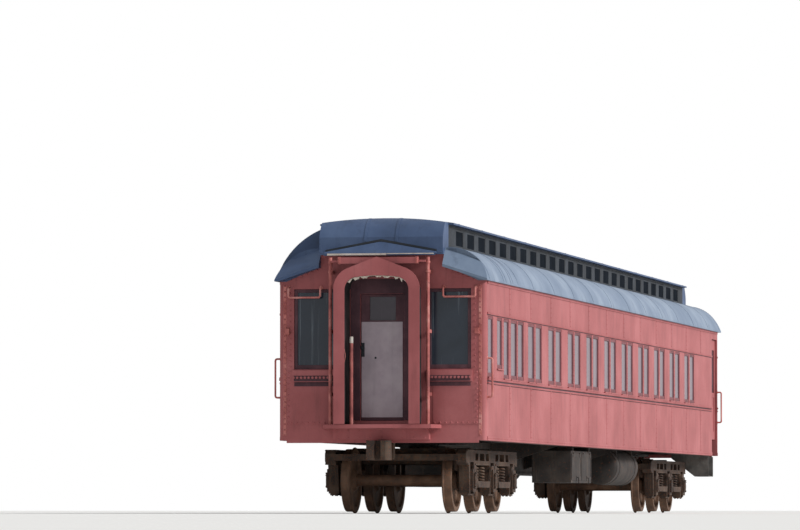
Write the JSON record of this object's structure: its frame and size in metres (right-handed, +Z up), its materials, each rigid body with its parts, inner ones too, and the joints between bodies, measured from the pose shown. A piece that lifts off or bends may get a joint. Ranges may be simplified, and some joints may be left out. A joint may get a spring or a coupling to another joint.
{
  "type": "railway lounge car",
  "caption": "Heavyweight passenger railway car with clerestory roof, windowed lounge end, diaphragms, swivelling six-wheel trucks, hinged doors and vestibule traps.",
  "frame": {"origin": "on the floor under the middle of the car, at the centre of the bounding box", "axes": "+Z up, +Y along the car towards the vestibule end, +X to the right when seen from the lounge end"},
  "size_m": [3.194, 25.3, 4.2398],
  "materials": {
    "body_paint": "faded oxide red coach paint",
    "roof_paint": "weathered grey roof paint",
    "dark_paint": "dull dark paint",
    "frame_paint": "dusty black underframe paint",
    "truck_casting": "rusty cast steel",
    "wheel_steel": "rolled steel with brown rust",
    "window_glass": "dark dusty window glass",
    "pleated_fabric": "black coated canvas folds",
    "floor_covering": "worn brown floor covering",
    "inside_paint": "faded cream inside paint",
    "door_paint": "dark red door paint",
    "iron_paint": "painted bar iron",
    "tread_steel": "worn steel tread plate"
  },
  "bodies": {
    "carbody": {"centre_sill": "frame_paint", "underframe": "frame_paint", "floor": "floor_covering", "right_side_wall": "body_paint", "left_side_wall": "body_paint", "near_end_wall": "body_paint", "far_end_wall": "body_paint", "vestibule_bulkhead": "inside_paint", "right_side_deck": "roof_paint", "left_side_deck": "roof_paint", "air_duct": "roof_paint", "clerestory_walls": "dark_paint", "upper_roof": "roof_paint", "roof_ends": "roof_paint", "rain_hoods": "roof_paint", "right_side_glass": "window_glass", "left_side_glass": "window_glass", "end_window_glass": "window_glass", "diaphragm_bellows": "pleated_fabric", "diaphragm_plates": "body_paint", "header_beams": "body_paint", "end_posts": "iron_paint", "grab_irons": "iron_paint", "marker_brackets": "iron_paint", "gate_post": "iron_paint", "end_platforms": "body_paint", "couplers": "truck_casting", "vestibule_steps": "tread_steel", "battery_boxes": "frame_paint", "air_conditioner": "frame_paint", "water_tank": "frame_paint", "brake_reservoir": "frame_paint"},
    "near_truck": {"near_truck_frame": "truck_casting", "near_truck_bolster": "truck_casting", "near_axle_boxes": "truck_casting", "near_equalisers": "truck_casting"},
    "near_wheelset_1": {"near_wheelset_1": "wheel_steel"},
    "near_wheelset_2": {"near_wheelset_2": "wheel_steel"},
    "near_wheelset_3": {"near_wheelset_3": "wheel_steel"},
    "far_truck": {"far_truck_frame": "truck_casting", "far_truck_bolster": "truck_casting", "far_axle_boxes": "truck_casting", "far_equalisers": "truck_casting"},
    "far_wheelset_1": {"far_wheelset_1": "wheel_steel"},
    "far_wheelset_2": {"far_wheelset_2": "wheel_steel"},
    "far_wheelset_3": {"far_wheelset_3": "wheel_steel"},
    "near_end_door": {"near_end_door": "door_paint", "near_door_glass": "window_glass"},
    "far_end_door": {"far_end_door": "door_paint", "far_door_glass": "window_glass"},
    "right_vestibule_door": {"right_vestibule_door": "body_paint", "right_door_glass": "window_glass"},
    "right_trap_door": {"right_trap_door": "tread_steel"},
    "left_vestibule_door": {"left_vestibule_door": "body_paint", "left_door_glass": "window_glass"},
    "left_trap_door": {"left_trap_door": "tread_steel"}
  },
  "joints": [
    {"name": "near_truck_swivel", "type": "hinge", "parent": "carbody", "child": "near_truck", "pos_m": [0, -9.068, 0.985], "axis": [0, 0, 1], "range_deg": [-6, 6]},
    {"name": "near_wheelset_1_roll", "type": "hinge", "parent": "near_truck", "child": "near_wheelset_1", "pos_m": [0, -10.7445, 0.482], "axis": [1, 0, 0], "continuous": true},
    {"name": "near_wheelset_2_roll", "type": "hinge", "parent": "near_truck", "child": "near_wheelset_2", "pos_m": [0, -9.068, 0.482], "axis": [1, 0, 0], "continuous": true},
    {"name": "near_wheelset_3_roll", "type": "hinge", "parent": "near_truck", "child": "near_wheelset_3", "pos_m": [0, -7.3915, 0.482], "axis": [1, 0, 0], "continuous": true},
    {"name": "far_truck_swivel", "type": "hinge", "parent": "carbody", "child": "far_truck", "pos_m": [0, 9.068, 0.985], "axis": [0, 0, 1], "range_deg": [-6, 6]},
    {"name": "far_wheelset_1_roll", "type": "hinge", "parent": "far_truck", "child": "far_wheelset_1", "pos_m": [0, 7.3915, 0.482], "axis": [1, 0, 0], "continuous": true},
    {"name": "far_wheelset_2_roll", "type": "hinge", "parent": "far_truck", "child": "far_wheelset_2", "pos_m": [0, 9.068, 0.482], "axis": [1, 0, 0], "continuous": true},
    {"name": "far_wheelset_3_roll", "type": "hinge", "parent": "far_truck", "child": "far_wheelset_3", "pos_m": [0, 10.7445, 0.482], "axis": [1, 0, 0], "continuous": true},
    {"name": "near_end_door_hinge", "type": "hinge", "parent": "carbody", "child": "near_end_door", "pos_m": [0.3107, -12.12, 1.331], "axis": [0, 0, -1], "range_deg": [0, 90]},
    {"name": "far_end_door_hinge", "type": "hinge", "parent": "carbody", "child": "far_end_door", "pos_m": [-0.3107, 12.12, 1.331], "axis": [0, 0, -1], "range_deg": [0, 90]},
    {"name": "right_vestibule_door_hinge", "type": "hinge", "parent": "carbody", "child": "right_vestibule_door", "pos_m": [1.423, 12.0707, 1.331], "axis": [0, 0, -1], "range_deg": [0, 90]},
    {"name": "right_trap_door_hinge", "type": "hinge", "parent": "carbody", "child": "right_trap_door", "pos_m": [1, 11.4093, 1.325], "axis": [1, 0, 0], "range_deg": [0, 85]},
    {"name": "left_vestibule_door_hinge", "type": "hinge", "parent": "carbody", "child": "left_vestibule_door", "pos_m": [-1.423, 12.0707, 1.331], "axis": [0, 0, 1], "range_deg": [0, 90]},
    {"name": "left_trap_door_hinge", "type": "hinge", "parent": "carbody", "child": "left_trap_door", "pos_m": [-1, 11.4093, 1.325], "axis": [1, 0, 0], "range_deg": [0, 85]}
  ]
}
